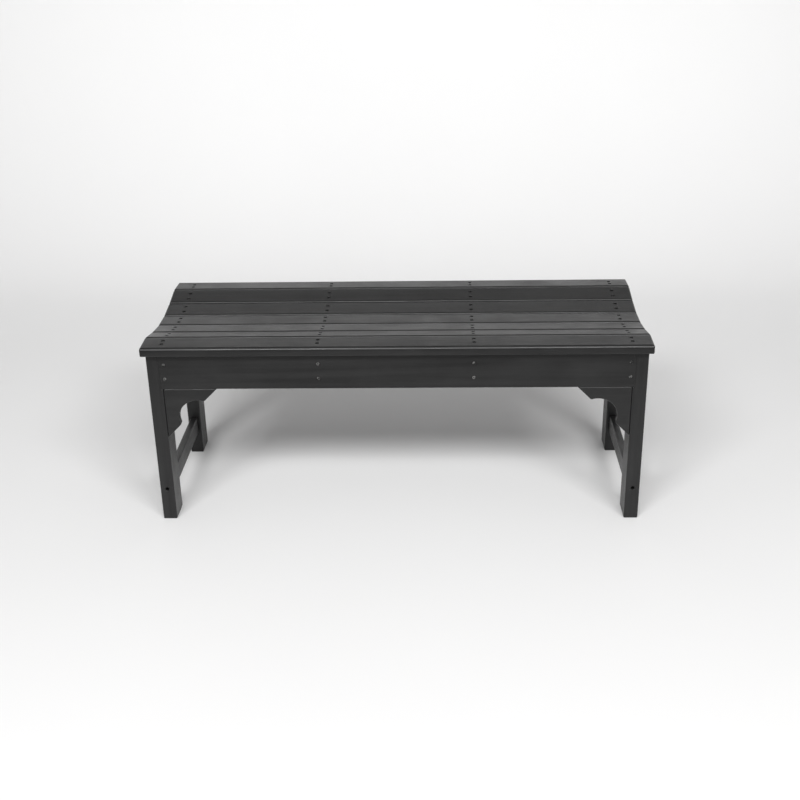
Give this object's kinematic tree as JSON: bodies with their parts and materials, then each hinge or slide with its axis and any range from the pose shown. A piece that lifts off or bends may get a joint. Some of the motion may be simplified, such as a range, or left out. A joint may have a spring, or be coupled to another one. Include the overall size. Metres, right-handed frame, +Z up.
{
  "type": "backless bench",
  "caption": "Backless garden bench with a dished seat of rounded slats, deep aprons, square legs, scroll-cut corner brackets and low side stretchers.",
  "frame": {"origin": "on the ground under the middle of the bench", "axes": "+X along the bench, +Y from its front to its back, +Z up"},
  "size_m": [1.2192, 0.486, 0.4793],
  "materials": {
    "charcoal_board": "charcoal recycled-plastic lumber with a faint grain and a soft sheen",
    "stainless_screw": "plain stainless, slightly dull"
  },
  "bodies": {
    "root": {"seat_slat_1": "charcoal_board", "seat_slat_2": "charcoal_board", "seat_slat_3": "charcoal_board", "seat_slat_4": "charcoal_board", "seat_slat_5": "charcoal_board", "seat_slat_6": "charcoal_board", "seat_slat_7": "charcoal_board", "front_apron": "charcoal_board", "back_apron": "charcoal_board", "left_end_rib": "charcoal_board", "left_middle_rib": "charcoal_board", "right_middle_rib": "charcoal_board", "right_end_rib": "charcoal_board", "front_left_leg": "charcoal_board", "front_right_leg": "charcoal_board", "back_left_leg": "charcoal_board", "back_right_leg": "charcoal_board", "front_left_bracket": "charcoal_board", "front_right_bracket": "charcoal_board", "back_left_bracket": "charcoal_board", "back_right_bracket": "charcoal_board", "left_stretcher": "charcoal_board", "right_stretcher": "charcoal_board", "front_apron_left_end_screw_1": "stainless_screw", "front_apron_left_end_screw_2": "stainless_screw", "front_apron_left_middle_screw_1": "stainless_screw", "front_apron_left_middle_screw_2": "stainless_screw", "front_apron_right_middle_screw_1": "stainless_screw", "front_apron_right_middle_screw_2": "stainless_screw", "front_apron_right_end_screw_1": "stainless_screw", "front_apron_right_end_screw_2": "stainless_screw", "back_apron_left_end_screw_1": "stainless_screw", "back_apron_left_end_screw_2": "stainless_screw", "back_apron_left_middle_screw_1": "stainless_screw", "back_apron_left_middle_screw_2": "stainless_screw", "back_apron_right_middle_screw_1": "stainless_screw", "back_apron_right_middle_screw_2": "stainless_screw", "back_apron_right_end_screw_1": "stainless_screw", "back_apron_right_end_screw_2": "stainless_screw", "front_left_leg_screw_1": "stainless_screw", "front_left_leg_screw_2": "stainless_screw", "front_left_stretcher_screw_1": "stainless_screw", "front_left_bracket_top_screw_1": "stainless_screw", "front_left_bracket_side_screw_1": "stainless_screw", "front_right_leg_screw_1": "stainless_screw", "front_right_leg_screw_2": "stainless_screw", "front_right_stretcher_screw_1": "stainless_screw", "front_right_bracket_top_screw_1": "stainless_screw", "front_right_bracket_side_screw_1": "stainless_screw", "back_left_leg_screw_1": "stainless_screw", "back_left_leg_screw_2": "stainless_screw", "back_left_stretcher_screw_1": "stainless_screw", "back_left_bracket_top_screw_1": "stainless_screw", "back_left_bracket_side_screw_1": "stainless_screw", "back_right_leg_screw_1": "stainless_screw", "back_right_leg_screw_2": "stainless_screw", "back_right_stretcher_screw_1": "stainless_screw", "back_right_bracket_top_screw_1": "stainless_screw", "back_right_bracket_side_screw_1": "stainless_screw"}
  },
  "joints": []
}
